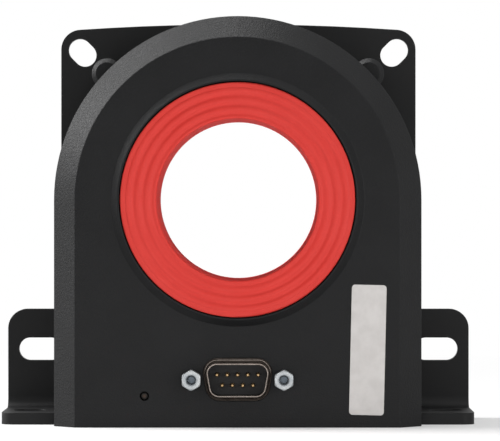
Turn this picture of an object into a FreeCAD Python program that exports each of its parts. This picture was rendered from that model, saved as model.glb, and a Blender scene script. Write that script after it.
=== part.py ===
import FreeCAD, Part
import math
import os

import Sketcher

# Frame: origin on the aperture axis at mid depth, front faces -Y, +Z up, +X right.
# All lengths are millimetres and all angles are degrees.

SIZES = {
    # moulded housing
    "body_width": 100.0,
    "housing_depth": 43.0,
    "cover_wall": 3.0,
    "edge_chamfer": 6.0,
    "edge_round": 0.5,
    "fit_gap": 0.3,
    # rear plate with its ears and feet
    "plate_thickness": 3.0,
    "plate_shoulder": 47.7,
    "plate_crown": 1.9,
    "plate_corner": 5.6,
    "ear_reach": 15.0,
    "ear_height": 30.9,
    "ear_corner": 5.4,
    "ear_slot_inset": 9.2,
    "ear_slot_rise": 19.6,
    "ear_slot_length": 12.3,
    "slot_width": 6.4,
    "corner_slot_inset": 6.0,
    "corner_slot_drop": 6.1,
    "corner_slot_length": 8.5,
    "foot_thickness": 3.2,
    "foot_setback": 12.5,
    "foot_fillet": 3.0,
    "foot_corner": 3.5,
    "foot_slot_inset": 7.2,
    "foot_slot_length": 9.2,
    "foot_slot_setback": 26.0,
    # screw bosses and cover screws
    "boss_radius": 4.2,
    "upper_boss_angle": 44.0,
    "upper_boss_setback": 14.0,
    "boss_chamfer": 1.2,
    "lower_boss_inset": 7.5,
    "lower_boss_rise": 15.6,
    "screw_radius": 1.4,
    "screw_hole_radius": 1.7,
    "screw_length": 13.0,
    "countersink": 1.4,
    "recess_radius": 1.2,
    # aperture ring and its collar
    "bore_radius": 22.0,
    "sleeve_wall": 1.5,
    "ring_width": 9.8,
    "ring_seat": 1.5,
    "land_height": 1.1,
    "wave_pitch": 2.55,
    "wave_height": 0.4,
    "wave_inset": 0.72,
    "crest_share": 0.62,
    "ring_round": 0.4,
    "collar_height": 1.4,
    "collar_flat": 0.4,
    "collar_bevel": 1.8,
    # nine-way connector
    "connector_gap": 0.15,
    "jack_spacing": 24.99,
    "pin_pitch": 2.77,
    "row_pitch": 2.84,
    "shell_width": 17.72,
    "shell_height": 9.16,
    "shell_corner": 2.8,
    "shell_sheet": 0.4,
    "shell_rise": 5.0,
    "shell_lip": 0.15,
    "root_step": 0.9,
    "root_rise": 0.25,
    "root_groove": 0.4,
    "root_groove_depth": 1.0,
    "root_round": 0.2,
    "flange_width": 30.81,
    "flange_height": 12.5,
    "flange_sheet": 0.8,
    "panel_web": 1.2,
    "side_slope": 10.0,
    "insulator_rise": 1.0,
    "connector_depth": 6.0,
    "connector_body_width": 18.0,
    "pin_radius": 0.51,
    "tail_radius": 0.36,
    "pin_recess": 0.7,
    "pin_nose": 0.25,
    "pin_clearance": 0.04,
    "tail_reach": 2.2,
    "tail_bend": 1.0,
    "tail_stub": 0.8,
    "jack_flats": 5.0,
    "jack_corner": 0.8,
    "jack_rise": 5.0,
    "jack_chamfer": 0.45,
    "jack_bore": 1.25,
    "jack_bore_depth": 4.0,
    "stud_radius": 1.4,
    "stud_length": 7.0,
    "bracket_width": 6.2,
    "bracket_sheet": 1.2,
    "bracket_foot": 7.0,
    "nut_radius": 2.4,
    "nut_length": 2.8,
    # status light
    "light_x": 25.2,
    "light_rise": 1.8,
    "light_hole": 1.25,
    "light_recess": 0.6,
    "light_collar": 1.7,
    "light_collar_length": 1.2,
    "lamp_width": 3.2,
    "lamp_depth": 2.4,
    # blank label
    "label_width": 9.4,
    "label_height": 35.2,
    "label_sheet": 0.25,
    "label_corner": 0.9,
    "label_inset": 14.8,
    "label_rise": 21.0,
    "label_tilt": 1.3,
    # circuit board on its rails
    "board_drop": 6.3,
    "board_thickness": 1.6,
    "board_setback": 3.7,
    "board_standoff": 2.1,
    "rail_width": 3.0,
    "rail_thickness": 1.5,
    # measuring cores
    "case_space": 4.5,
    "case_wall": 1.2,
    "winding_wall": 2.0,
    "winding_span": 350.0,
    "coil_wall": 1.2,
    "main_core_length": 11.0,
    "tape_gap": 0.2,
    # board parts
    "driver_length": 10.3,
    "driver_width": 7.5,
    "driver_height": 2.35,
    "logic_length": 5.0,
    "logic_width": 4.0,
    "logic_height": 1.5,
    "transistor_length": 10.0,
    "transistor_width": 9.0,
    "transistor_height": 4.4,
    "resistor_length": 12.0,
    "resistor_width": 6.0,
    "resistor_height": 4.0,
    "capacitor_radius": 3.15,
    "capacitor_height": 7.7,
    "header_length": 15.2,
    "header_width": 5.8,
    "header_height": 7.0,
    "outboard_inset": 14.7,
    "column_pitch": 12.0,
    "front_row_inset": 8.0,
    "rear_row_inset": 8.2,
}

# Raised rings on the face of the aperture sleeve.
WAVES = 3

doc = FreeCAD.newDocument("current_transducer")
sheet = doc.addObject("Spreadsheet::Sheet", "Sizes")
for row, (name, number) in enumerate(SIZES.items(), start=1):
    sheet.set(f"A{row}", name)
    sheet.set(f"B{row}", str(number))
    sheet.setAlias(f"B{row}", name)
doc.recompute()


class Size:
    """A size as a number, together with the sheet formula that gives it."""

    def __init__(self, value, formula):
        self.value = value
        self.formula = formula

    def __add__(self, other):
        return Size(self.value + value_of(other), f"({self.formula} + {formula_of(other)})")

    def __sub__(self, other):
        return Size(self.value - value_of(other), f"({self.formula} - {formula_of(other)})")

    def __mul__(self, other):
        return Size(self.value * value_of(other), f"({self.formula} * {formula_of(other)})")

    def __truediv__(self, other):
        return Size(self.value / value_of(other), f"({self.formula} / {formula_of(other)})")

    def __neg__(self):
        return self * -1


class SheetSizes:
    """Reads a named size from the sheet."""

    def __getattr__(self, alias):
        return Size(float(sheet.get(alias)), f"Sizes.{alias}")


def value_of(size):
    return size.value if isinstance(size, Size) else float(size)


def formula_of(size):
    return size.formula if isinstance(size, Size) else repr(float(size))


def arc_radius(chord, rise):
    """Radius of an arc from its chord and its height."""
    return (chord * chord / 4 + rise * rise) / (rise * 2)


def tangent_of(angle):
    return Size(math.tan(math.radians(angle.value)), f"tan({angle.formula} * 1 deg)")


def cosine_of(angle):
    return Size(math.cos(math.radians(angle.value)), f"cos({angle.formula} * 1 deg)")


def sine_of(angle):
    return Size(math.sin(math.radians(angle.value)), f"sin({angle.formula} * 1 deg)")


s = SheetSizes()

# Places that several pieces share.
front_y = -s.housing_depth / 2
rear_y = s.housing_depth / 2
tube_radius = s.bore_radius + s.sleeve_wall
tube_hole = tube_radius + s.fit_gap
ring_radius = s.bore_radius + s.ring_width
body_half = s.body_width / 2
inner_half = body_half - s.cover_wall
case_radius = inner_half - s.case_space
connector_z = s.fit_gap - case_radius - s.connector_gap - s.flange_height / 2
board_top = connector_z - s.board_drop
board_bottom = board_top - s.board_thickness
floor_z = board_bottom - s.board_standoff
base_z = floor_z - s.cover_wall
ear_half = body_half + s.ear_reach
ear_top = base_z + s.ear_height
plate_y = rear_y - s.plate_thickness
inner_y = front_y + s.cover_wall
slot_radius = s.slot_width / 2
collar_radius = ring_radius + s.fit_gap
seat_y = front_y + s.ring_seat
flange_y = front_y + s.panel_web
body_y = flange_y + s.flange_sheet
upper_boss_x = body_half * cosine_of(s.upper_boss_angle)
upper_boss_z = body_half * sine_of(s.upper_boss_angle)
lower_boss_x = body_half - s.lower_boss_inset
lower_boss_z = base_z + s.lower_boss_rise
board_front = inner_y + s.fit_gap
board_rear = plate_y - s.board_setback
board_half = inner_half - s.fit_gap
jack_x = s.jack_spacing / 2
jack_reach = s.jack_flats / math.sqrt(3)
light_z = board_top + s.light_rise

SIDES = (("left", -1), ("right", 1))
SUB_PARTS = []


def new_body(name):
    """A body whose label names the piece."""
    body = doc.addObject("PartDesign::Body", name)
    body.Label = name
    SUB_PARTS.append(body)
    return body


def new_sketch(body, role, name, offset=None):
    """A sketch on one of the body's own origin planes, moved along its normal."""
    plane = next(item for item in body.Origin.OriginFeatures if item.Role == role)
    sketch = body.newObject("Sketcher::SketchObject", name)
    sketch.AttachmentSupport = [(plane, "")]
    sketch.MapMode = "FlatFace"
    if offset is not None:
        sketch.AttachmentOffset = FreeCAD.Placement(FreeCAD.Vector(0, 0, offset.value), FreeCAD.Rotation())
        sketch.setExpression("AttachmentOffset.Base.z", offset.formula)
    return sketch


def front_sketch(body, name, y):
    """A sketch facing the viewer, on the plane at this y."""
    return new_sketch(body, "XZ_Plane", name, -y)


def constrain(sketch, kind, *references, size=None):
    """Adds one constraint and ties its size to the sheet."""
    if size is None:
        sketch.addConstraint(Sketcher.Constraint(kind, *references))
        return
    index = sketch.addConstraint(Sketcher.Constraint(kind, *references, value_of(size)))
    if isinstance(size, Size):
        sketch.setExpression(f"Constraints[{index}]", size.formula)


def place_point(sketch, curve, end, across, up):
    """Holds a point of a curve at its distances from the sketch's origin."""
    for kind, axis, size in (("DistanceX", -2, across), ("DistanceY", -1, up)):
        if isinstance(size, Size):
            constrain(sketch, kind, -1, 1, curve, end, size=size)
        else:
            constrain(sketch, "PointOnObject", curve, end, axis)


def point_of(corner):
    return FreeCAD.Vector(value_of(corner[0]), value_of(corner[1]), 0)


def add_arc(sketch, centre, start, end, leftward):
    """Adds an arc and returns its index with the ends at start and end."""
    radius = (start - centre).Length
    first, last = (start, end) if leftward else (end, start)
    begin = math.atan2(first.y - centre.y, first.x - centre.x)
    finish = math.atan2(last.y - centre.y, last.x - centre.x)
    if finish <= begin:
        finish += 2 * math.pi
    circle = Part.Circle(centre, FreeCAD.Vector(0, 0, 1), radius)
    index = sketch.addGeometry(Part.ArcOfCircle(circle, begin, finish))
    return (index, 1, 2) if leftward else (index, 2, 1)


def outline(sketch, corners):
    """Closed outline of straight sides; a corner is (x, y) or (x, y, radius)."""
    points = [point_of(corner) for corner in corners]
    count = len(corners)
    arrive, leave, centres = [], [], []
    for index, corner in enumerate(corners):
        here = points[index]
        if len(corner) == 2:
            arrive.append(here)
            leave.append(here)
            centres.append(None)
            continue
        before = (points[index - 1] - here).normalize()
        after = (points[(index + 1) % count] - here).normalize()
        half = before.getAngle(after) / 2
        reach = value_of(corner[2]) / math.tan(half)
        arrive.append(here + before * reach)
        leave.append(here + after * reach)
        centres.append(here + (before + after).normalize() * (value_of(corner[2]) / math.sin(half)))
    lines = [
        sketch.addGeometry(Part.LineSegment(leave[index], arrive[(index + 1) % count]))
        for index in range(count)
    ]
    for index, corner in enumerate(corners):
        incoming, outgoing = lines[index - 1], lines[index]
        if centres[index] is None:
            constrain(sketch, "Coincident", incoming, 2, outgoing, 1)
            place_point(sketch, outgoing, 1, corner[0], corner[1])
            continue
        inward, outward = arrive[index] - centres[index], leave[index] - centres[index]
        leftward = inward.cross(outward).z > 0
        arc, start, end = add_arc(sketch, centres[index], arrive[index], leave[index], leftward)
        constrain(sketch, "Tangent", incoming, 2, arc, start)
        constrain(sketch, "Tangent", arc, end, outgoing, 1)
        constrain(sketch, "Radius", arc, size=corner[2])
        mark = sketch.addGeometry(Part.Point(points[index]), True)
        place_point(sketch, mark, 1, corner[0], corner[1])
        constrain(sketch, "PointOnObject", mark, 1, incoming)
        constrain(sketch, "PointOnObject", mark, 1, outgoing)


def arc_outline(sketch, corners):
    """Closed outline; (x, y, radius, turn) leaves along an arc, turn 1 left or -1 right."""
    points = [point_of(corner) for corner in corners]
    pieces = []
    for index, corner in enumerate(corners):
        start, end = points[index], points[(index + 1) % len(points)]
        if len(corner) == 2:
            pieces.append((sketch.addGeometry(Part.LineSegment(start, end)), 1, 2))
            continue
        chord = end - start
        middle = (start + end) / 2
        side = FreeCAD.Vector(-chord.y, chord.x, 0).normalize() * corner[3]
        height = math.sqrt(corner[2].value ** 2 - (chord.Length / 2) ** 2)
        pieces.append(add_arc(sketch, middle + side * height, start, end, corner[3] > 0))
    for index, corner in enumerate(corners):
        curve, start, end = pieces[index]
        following = pieces[(index + 1) % len(pieces)]
        place_point(sketch, curve, start, corner[0], corner[1])
        constrain(sketch, "Coincident", curve, end, following[0], following[1])
        if len(corner) == 4:
            constrain(sketch, "Radius", curve, size=corner[2])


def rectangle(sketch, left, right, bottom, top):
    outline(sketch, [(left, bottom), (right, bottom), (right, top), (left, top)])


def circle(sketch, across, up, radius):
    round_edge = Part.Circle(point_of((across, up)), FreeCAD.Vector(0, 0, 1), radius.value)
    index = sketch.addGeometry(round_edge)
    place_point(sketch, index, 3, across, up)
    constrain(sketch, "Radius", index, size=radius)


def slot(sketch, first, second, radius):
    """Round-ended slot between two centres."""
    start, end = point_of(first), point_of(second)
    along = (end - start).normalize()
    side = FreeCAD.Vector(-along.y, along.x, 0) * radius.value
    upper = sketch.addGeometry(Part.LineSegment(end + side, start + side))
    lower = sketch.addGeometry(Part.LineSegment(start - side, end - side))
    near, near_start, near_end = add_arc(sketch, start, start + side, start - side, True)
    far, far_start, far_end = add_arc(sketch, end, end - side, end + side, True)
    constrain(sketch, "Tangent", upper, 2, near, near_start)
    constrain(sketch, "Tangent", near, near_end, lower, 1)
    constrain(sketch, "Tangent", lower, 2, far, far_start)
    constrain(sketch, "Tangent", far, far_end, upper, 1)
    place_point(sketch, near, 3, first[0], first[1])
    place_point(sketch, far, 3, second[0], second[1])
    constrain(sketch, "Radius", near, size=radius)


def hexagon(sketch, across, up, flats, corner=None):
    """Hexagon with a corner straight up, sharp or rounded."""
    reach = flats / math.sqrt(3)
    corners = []
    for turn in range(6):
        angle = math.radians(90 + 60 * turn)
        step_up = reach * round(math.sin(angle), 12)
        if abs(math.cos(angle)) < 1e-9:
            place = (across, step_up + up)
        else:
            place = (across + reach * math.cos(angle), step_up + up)
        corners.append(place if corner is None else place + (corner,))
    outline(sketch, corners)


def set_size(feature, path, size):
    """Gives a feature's length or angle, tied to the sheet."""
    setattr(feature, path, size.value)
    feature.setExpression(path, size.formula)


def finish_feature(body, feature, volume_before, adds):
    """Rebuilds and makes sure that the feature changed the solid as it should."""
    doc.recompute()
    volume = feature.Shape.Volume
    if adds and not volume > volume_before + 1e-6:
        raise RuntimeError(f"{feature.Name} of {body.Label} adds nothing")
    if not adds and not volume < volume_before - 1e-6:
        raise RuntimeError(f"{feature.Name} of {body.Label} cuts nothing")
    return feature


def volume_of(body):
    return body.Shape.Volume if body.Tip is not None and not body.Shape.isNull() else 0.0


def pad(body, sketch, length, backward=False):
    before = volume_of(body)
    feature = body.newObject("PartDesign::Pad", sketch.Name + "_pad")
    feature.Profile = sketch
    feature.Reversed = backward
    set_size(feature, "Length", length)
    return finish_feature(body, feature, before, True)


def pocket(body, sketch, length, forward=False):
    before = volume_of(body)
    feature = body.newObject("PartDesign::Pocket", sketch.Name + "_pocket")
    feature.Profile = sketch
    feature.Reversed = forward
    set_size(feature, "Length", length)
    return finish_feature(body, feature, before, False)


def revolve(body, sketch, axis="V_Axis", angle=None, cut=False):
    before = volume_of(body)
    kind = "PartDesign::Groove" if cut else "PartDesign::Revolution"
    feature = body.newObject(kind, sketch.Name + "_turned")
    feature.Profile = sketch
    feature.ReferenceAxis = (sketch, [axis])
    feature.Angle = 360
    if angle is not None:
        set_size(feature, "Angle", angle)
    return finish_feature(body, feature, before, not cut)


def edge_names(feature, wanted):
    return [f"Edge{i}" for i, edge in enumerate(feature.Shape.Edges, start=1) if wanted(edge)]


def face_names(feature, wanted):
    return [f"Face{i}" for i, face in enumerate(feature.Shape.Faces, start=1) if wanted(face)]


def dress(body, kind, feature, edges, path, size):
    """A fillet or chamfer along named edges."""
    if not edges:
        raise RuntimeError(f"no edges for {kind} on {body.Label}")
    edge_feature = body.newObject(f"PartDesign::{kind}", f"{feature.Name}_{kind}")
    edge_feature.Base = (feature, edges)
    set_size(edge_feature, path, size)
    doc.recompute()
    return edge_feature


def chamfer(body, feature, edges, size):
    return dress(body, "Chamfer", feature, edges, "Size", size)


def fillet(body, feature, edges, radius):
    return dress(body, "Fillet", feature, edges, "Radius", radius)


def close(first, second):
    return abs(first - value_of(second)) < 1e-4


def lies_at_y(edge, y):
    return close(edge.BoundBox.YMin, y) and close(edge.BoundBox.YMax, y)


def on_outer_rim(edge, block):
    """True for an edge of the connector's wall that is further out than the hollow's edge."""
    middle = edge.valueAt((edge.FirstParameter + edge.LastParameter) / 2)
    out = FreeCAD.Vector(middle.x, 0, middle.z - connector_z.value).normalize()
    return not block.Shape.isInside(middle + out * 1e-2, 1e-4, True)


def arch(sketch, half, bottom):
    """House-shaped outline with a round top about the aperture axis."""
    arc_outline(sketch, [
        (-half, bottom),
        (half, bottom),
        (half, 0, half, 1),
        (0, half, half, 1),
        (-half, 0),
    ])


def connector_outline(sketch, grow):
    """Keystone outline of the connector, wide side up, grown by a margin."""
    slope = tangent_of(s.side_slope)
    half_height = s.shell_height / 2 + grow
    top_half = s.shell_width / 2 + grow
    bottom_half = top_half - half_height * 2 * slope
    corner = s.shell_corner + grow
    outline(sketch, [
        (-bottom_half, connector_z - half_height, corner),
        (bottom_half, connector_z - half_height, corner),
        (top_half, connector_z + half_height, corner),
        (-top_half, connector_z + half_height, corner),
    ])


def contact_places():
    """Places of the nine contacts, five over four, as (x, z, row)."""
    places = []
    for row, count in enumerate((5, 4)):
        for index in range(count):
            steps = index - (count - 1) / 2
            across = s.pin_pitch * steps if steps else 0
            up = connector_z + s.row_pitch / 2 if row == 0 else connector_z - s.row_pitch / 2
            places.append((across, up, row))
    return places


def tail_y(row):
    """Where a contact's tail goes down through the board; the upper row reaches further."""
    first = body_y + s.connector_depth + s.tail_reach
    return first + s.row_pitch if row == 0 else first


def four_screws():
    """Centres of the screws that join the plate to the cover."""
    return [
        ("upper_left", -upper_boss_x, upper_boss_z),
        ("upper_right", upper_boss_x, upper_boss_z),
        ("lower_left", -lower_boss_x, lower_boss_z),
        ("lower_right", lower_boss_x, lower_boss_z),
    ]


def front_cover():
    """Moulded cup: chamfered front, raised collar, bosses and board rails."""
    body = new_body("front_cover")
    shell_sketch = front_sketch(body, "cover_outline", plate_y)
    arch(shell_sketch, body_half, base_z)
    block = pad(body, shell_sketch, s.housing_depth - s.plate_thickness)
    rim = edge_names(block, lambda edge: lies_at_y(edge, front_y) and not (
        close(edge.BoundBox.ZMax, base_z)))
    block = chamfer(body, block, rim, s.edge_chamfer)
    rear_face = face_names(block, lambda face: lies_at_y(face, plate_y))
    cup = body.newObject("PartDesign::Thickness", "cover_shell")
    cup.Base = (block, rear_face)
    cup.Mode = "Skin"
    cup.Join = "Arc"
    cup.Reversed = True
    set_size(cup, "Value", s.cover_wall)
    doc.recompute()

    boss_front = front_y + s.upper_boss_setback
    for side_name, side in SIDES:
        middle = upper_boss_x * side
        boss = new_sketch(body, "XY_Plane", f"upper_boss_{side_name}", upper_boss_z)
        outline(boss, [
            (middle, plate_y),
            (middle + s.boss_radius, plate_y),
            (middle + s.boss_radius, boss_front + s.boss_chamfer),
            (middle + s.boss_radius - s.boss_chamfer, boss_front),
            (middle, boss_front),
        ])
        revolve(body, boss, axis="Edge5")

    lower = front_sketch(body, "lower_bosses", plate_y)
    for side in (-1, 1):
        circle(lower, lower_boss_x * side, lower_boss_z, s.boss_radius)
    pad(body, lower, plate_y - inner_y)

    rails = front_sketch(body, "board_rails", plate_y)
    rail_reach = inner_half - s.rail_width
    rail_root = inner_half + s.cover_wall / 2
    above = board_top + s.fit_gap / 2
    below = floor_z - s.cover_wall / 2
    for side in (-1, 1):
        near, far = (rail_reach, rail_root) if side == 1 else (-rail_root, -rail_reach)
        rectangle(rails, near, far, below, board_bottom)
        rectangle(rails, near, far, above, above + s.rail_thickness)
    pad(body, rails, plate_y - front_y - s.edge_chamfer - s.cover_wall)

    collar = new_sketch(body, "XY_Plane", "collar")
    collar_top = front_y - s.collar_height
    collar_in = collar_radius
    collar_out = collar_in + s.collar_flat
    outline(collar, [
        (collar_in, seat_y),
        (collar_in, collar_top),
        (collar_out, collar_top),
        (collar_out + s.collar_bevel, front_y),
        (collar_out + s.collar_bevel, seat_y),
    ])
    revolve(body, collar)

    seat = front_sketch(body, "ring_seat", seat_y)
    circle(seat, 0, 0, collar_radius)
    pocket(body, seat, s.ring_seat + s.collar_height, forward=True)
    mouth = front_sketch(body, "tube_mouth", inner_y)
    circle(mouth, 0, 0, tube_hole)
    pocket(body, mouth, s.cover_wall, forward=True)

    thin = front_sketch(body, "connector_web", flange_y)
    rectangle(
        thin,
        -(s.flange_width / 2 + s.fit_gap),
        s.flange_width / 2 + s.fit_gap,
        connector_z - s.flange_height / 2 - s.fit_gap,
        connector_z + s.flange_height / 2 + s.fit_gap,
    )
    pocket(body, thin, s.cover_wall - s.panel_web)
    cutout = front_sketch(body, "connector_cutout", front_y)
    connector_outline(cutout, s.root_step + s.fit_gap)
    for side in (-1, 1):
        circle(cutout, jack_x * side, connector_z, s.stud_radius + s.fit_gap)
    circle(cutout, -s.light_x, light_z, s.light_hole)
    pocket(body, cutout, s.cover_wall)

    holes = front_sketch(body, "screw_holes", plate_y)
    for _, across, up in four_screws():
        circle(holes, across, up, s.screw_radius)
    cut = pocket(body, holes, s.screw_length, forward=True)

    inner_turn = body_half - s.edge_chamfer
    soft = edge_names(cut, lambda edge: lies_at_y(edge, front_y) and (
        close(edge.BoundBox.XMax, inner_turn) or close(edge.BoundBox.XMin, -inner_turn))
        and edge.BoundBox.ZMax > base_z.value + 1)
    fillet(body, cut, soft, s.edge_round)
    return body


def back_plate():
    """Rear plate with rounded upper corners, side ears and forward feet, one moulding."""
    body = new_body("back_plate")
    sheet_sketch = front_sketch(body, "plate_outline", rear_y)
    crown_radius = arc_radius(s.body_width, s.plate_crown)
    arc_outline(sheet_sketch, [
        (-ear_half, base_z),
        (ear_half, base_z),
        (ear_half, ear_top),
        (body_half, ear_top),
        (body_half, s.plate_shoulder, crown_radius, 1),
        (0, s.plate_shoulder + s.plate_crown, crown_radius, 1),
        (-body_half, s.plate_shoulder),
        (-body_half, ear_top),
        (-ear_half, ear_top),
    ])
    plate = pad(body, sheet_sketch, s.plate_thickness)

    feet = front_sketch(body, "feet", plate_y)
    inner = body_half + s.fit_gap / 2
    for side in (-1, 1):
        near, far = (inner, ear_half) if side == 1 else (-ear_half, -inner)
        rectangle(feet, near, far, base_z, base_z + s.foot_thickness)
    plate = pad(body, feet, plate_y - front_y - s.foot_setback)

    def along_y(edge):
        return edge.BoundBox.YLength > s.plate_thickness.value - 1e-3

    def at(edge, across, up):
        box = edge.BoundBox
        return close(abs(box.Center.x), across) and close(box.Center.z, up) and box.ZLength < 1e-3

    shoulders = edge_names(plate, lambda edge: along_y(edge) and at(edge, body_half, s.plate_shoulder))
    plate = fillet(body, plate, shoulders, s.plate_corner)
    ears = edge_names(plate, lambda edge: along_y(edge) and at(edge, ear_half, ear_top))
    plate = fillet(body, plate, ears, s.ear_corner)
    foot_y = front_y + s.foot_setback
    corners = edge_names(plate, lambda edge: close(edge.BoundBox.YMax, foot_y)
                         and edge.BoundBox.ZLength > s.foot_thickness.value - 1e-3
                         and close(abs(edge.BoundBox.Center.x), ear_half))
    plate = fillet(body, plate, corners, s.foot_corner)
    creases = edge_names(plate, lambda edge: lies_at_y(edge, plate_y)
                         and close(edge.BoundBox.ZMin, base_z + s.foot_thickness)
                         and close(edge.BoundBox.ZMax, base_z + s.foot_thickness))
    plate = fillet(body, plate, creases, s.foot_fillet)

    openings = front_sketch(body, "plate_openings", rear_y)
    circle(openings, 0, 0, tube_hole)
    reach = s.ear_slot_length / 2 - slot_radius
    diagonal = (s.corner_slot_length / 2 - slot_radius) * math.sqrt(0.5)
    ear_slot_z = base_z + s.ear_slot_rise
    corner_x = body_half - s.corner_slot_inset
    corner_z = s.plate_shoulder - s.corner_slot_drop
    for side in (-1, 1):
        ear_x = (ear_half - s.ear_slot_inset) * side
        slot(openings, (ear_x - reach, ear_slot_z), (ear_x + reach, ear_slot_z), slot_radius)
        slot(
            openings,
            ((corner_x - diagonal) * side, corner_z - diagonal),
            ((corner_x + diagonal) * side, corner_z + diagonal),
            slot_radius,
        )
    for _, across, up in four_screws():
        circle(openings, across, up, s.screw_hole_radius)
    plate = pocket(body, openings, s.plate_thickness, forward=True)

    base = new_sketch(body, "XY_Plane", "foot_slots", base_z)
    reach = s.foot_slot_length / 2 - slot_radius
    slot_y = front_y + s.foot_slot_setback
    for side in (-1, 1):
        foot_x = (ear_half - s.foot_slot_inset) * side
        slot(base, (foot_x - reach, slot_y), (foot_x + reach, slot_y), slot_radius)
    plate = pocket(body, base, s.foot_thickness, forward=True)

    sinks = edge_names(plate, lambda edge: lies_at_y(edge, rear_y)
                       and close(edge.BoundBox.XLength, s.screw_hole_radius * 2)
                       and close(edge.BoundBox.ZLength, s.screw_hole_radius * 2))
    chamfer(body, plate, sinks, s.countersink)
    return body


def aperture_sleeve():
    """Turned ring with concentric waves, on the tube that lines the aperture."""
    body = new_body("aperture_sleeve")
    profile = new_sketch(body, "XY_Plane", "sleeve_profile")
    level = front_y - s.land_height
    crest_width = s.wave_pitch * s.crest_share
    valley_width = s.wave_pitch - crest_width
    crest_rise = s.wave_height * s.crest_share
    valley_drop = s.wave_height - crest_rise
    crest_radius = arc_radius(crest_width, crest_rise)
    valley_radius = arc_radius(valley_width, valley_drop)
    corners = [
        (s.bore_radius, rear_y),
        (s.bore_radius, level + s.ring_round, s.ring_round, 1),
        (s.bore_radius + s.ring_round, level),
    ]
    for wave in range(WAVES):
        valley_start = s.bore_radius + s.wave_inset + s.wave_pitch * wave
        corners.append((valley_start, level, valley_radius, -1))
        corners.append((valley_start + valley_width, level, crest_radius, 1))
    corners += [
        (s.bore_radius + s.wave_inset + s.wave_pitch * WAVES, level),
        (ring_radius - s.ring_round, level, s.ring_round, 1),
        (ring_radius, level + s.ring_round),
        (ring_radius, seat_y),
        (tube_radius, seat_y),
        (tube_radius, rear_y),
    ]
    arc_outline(profile, corners)
    revolve(body, profile)
    return body


def connector_shell():
    """Drawn metal shell of the connector with its flange and root bead."""
    body = new_body("connector_shell")
    flange = front_sketch(body, "flange", body_y)
    rectangle(
        flange,
        -s.flange_width / 2,
        s.flange_width / 2,
        connector_z - s.flange_height / 2,
        connector_z + s.flange_height / 2,
    )
    pad(body, flange, s.flange_sheet)
    root = front_sketch(body, "root_bead", body_y)
    connector_outline(root, s.root_step)
    pad(body, root, s.flange_sheet + s.panel_web + s.root_rise)
    groove = front_sketch(body, "root_groove", front_y - s.root_rise)
    connector_outline(groove, s.root_groove)
    bead = pocket(body, groove, s.root_groove_depth)
    crest = edge_names(bead, lambda edge: lies_at_y(edge, front_y - s.root_rise))
    fillet(body, bead, crest, s.root_round)
    wall = front_sketch(body, "shell_wall", body_y)
    connector_outline(wall, 0)
    pad(body, wall, s.flange_sheet + s.panel_web + s.shell_rise)
    hollow = front_sketch(body, "shell_hollow", front_y - s.shell_rise)
    connector_outline(hollow, -s.shell_sheet)
    block = pocket(body, hollow, s.flange_sheet + s.panel_web + s.shell_rise)
    lip = edge_names(block, lambda edge: lies_at_y(edge, front_y - s.shell_rise)
                     and on_outer_rim(edge, block))
    fillet(body, block, lip, s.shell_lip)
    holes = front_sketch(body, "flange_holes", flange_y)
    for side in (-1, 1):
        circle(holes, jack_x * side, connector_z, s.stud_radius + s.fit_gap / 2)
    pocket(body, holes, s.flange_sheet)
    return body


def connector_insulator():
    """Dark insulator inside the shell, with a hole for each contact."""
    body = new_body("connector_insulator")
    face = front_sketch(body, "insulator_outline", body_y)
    connector_outline(face, -s.shell_sheet - s.pin_clearance)
    block = pad(body, face, s.flange_sheet + s.insulator_rise)
    holes = front_sketch(body, "contact_holes", body_y)
    for across, up, _ in contact_places():
        circle(holes, across, up, s.pin_radius + s.pin_clearance)
    pocket(body, holes, s.flange_sheet + s.insulator_rise, forward=True)
    return body


def connector_body():
    """Moulded rear block of the connector, standing on the board."""
    body = new_body("connector_body")
    face = front_sketch(body, "body_outline", body_y)
    half = s.connector_body_width / 2
    rectangle(face, -half, half, board_top, connector_z + s.flange_height / 2 - s.fit_gap)
    pad(body, face, s.connector_depth, backward=True)
    holes = front_sketch(body, "body_holes", body_y)
    for across, up, _ in contact_places():
        circle(holes, across, up, s.pin_radius + s.pin_clearance)
    pocket(body, holes, s.connector_depth)
    return body


def contact_pin(number, across, up, row):
    """Contact: round-nosed pin, with a tail bent down through the board."""
    body = new_body(f"contact_pin_{number}")
    nose = new_sketch(body, "XY_Plane", f"pin_{number}_profile", up)
    tip_y = front_y - s.shell_rise + s.pin_recess
    end_y = body_y + s.connector_depth
    right = s.pin_radius + across
    outline(nose, [
        (across, end_y),
        (across, tip_y),
        (right - s.pin_nose, tip_y),
        (right, tip_y + s.pin_radius),
        (right, end_y),
    ])
    pin = body.newObject("PartDesign::Revolution", f"pin_{number}_turned")
    pin.Profile = nose
    pin.ReferenceAxis = (nose, ["Edge1"])
    doc.recompute()

    route = new_sketch(body, "YZ_Plane", f"pin_{number}_route", across if isinstance(across, Size) else None)
    down_y = tail_y(row)
    bottom = board_bottom - s.tail_stub
    start = Part.LineSegment(point_of((end_y - s.tail_bend, up)), point_of((down_y - s.tail_bend, up)))
    drop = Part.LineSegment(point_of((down_y, up - s.tail_bend)), point_of((down_y, bottom)))
    along = route.addGeometry(start)
    down = route.addGeometry(drop)
    centre = point_of((down_y - s.tail_bend, up - s.tail_bend))
    bend, bend_start, bend_end = add_arc(
        route, centre, point_of((down_y - s.tail_bend, up)), point_of((down_y, up - s.tail_bend)), False)
    place_point(route, along, 1, end_y - s.tail_bend, up)
    constrain(route, "Horizontal", along)
    constrain(route, "Vertical", down)
    constrain(route, "Tangent", along, 2, bend, bend_start)
    constrain(route, "Tangent", bend, bend_end, down, 1)
    constrain(route, "Radius", bend, size=s.tail_bend)
    place_point(route, down, 2, down_y, bottom)

    section = front_sketch(body, f"pin_{number}_section", end_y - s.tail_bend)
    circle(section, across, up, s.tail_radius)
    tail = body.newObject("PartDesign::AdditivePipe", f"pin_{number}_tail")
    tail.Profile = section
    tail.Spine = (route, ["Edge1", "Edge2", "Edge3"])
    doc.recompute()
    return body


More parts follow.
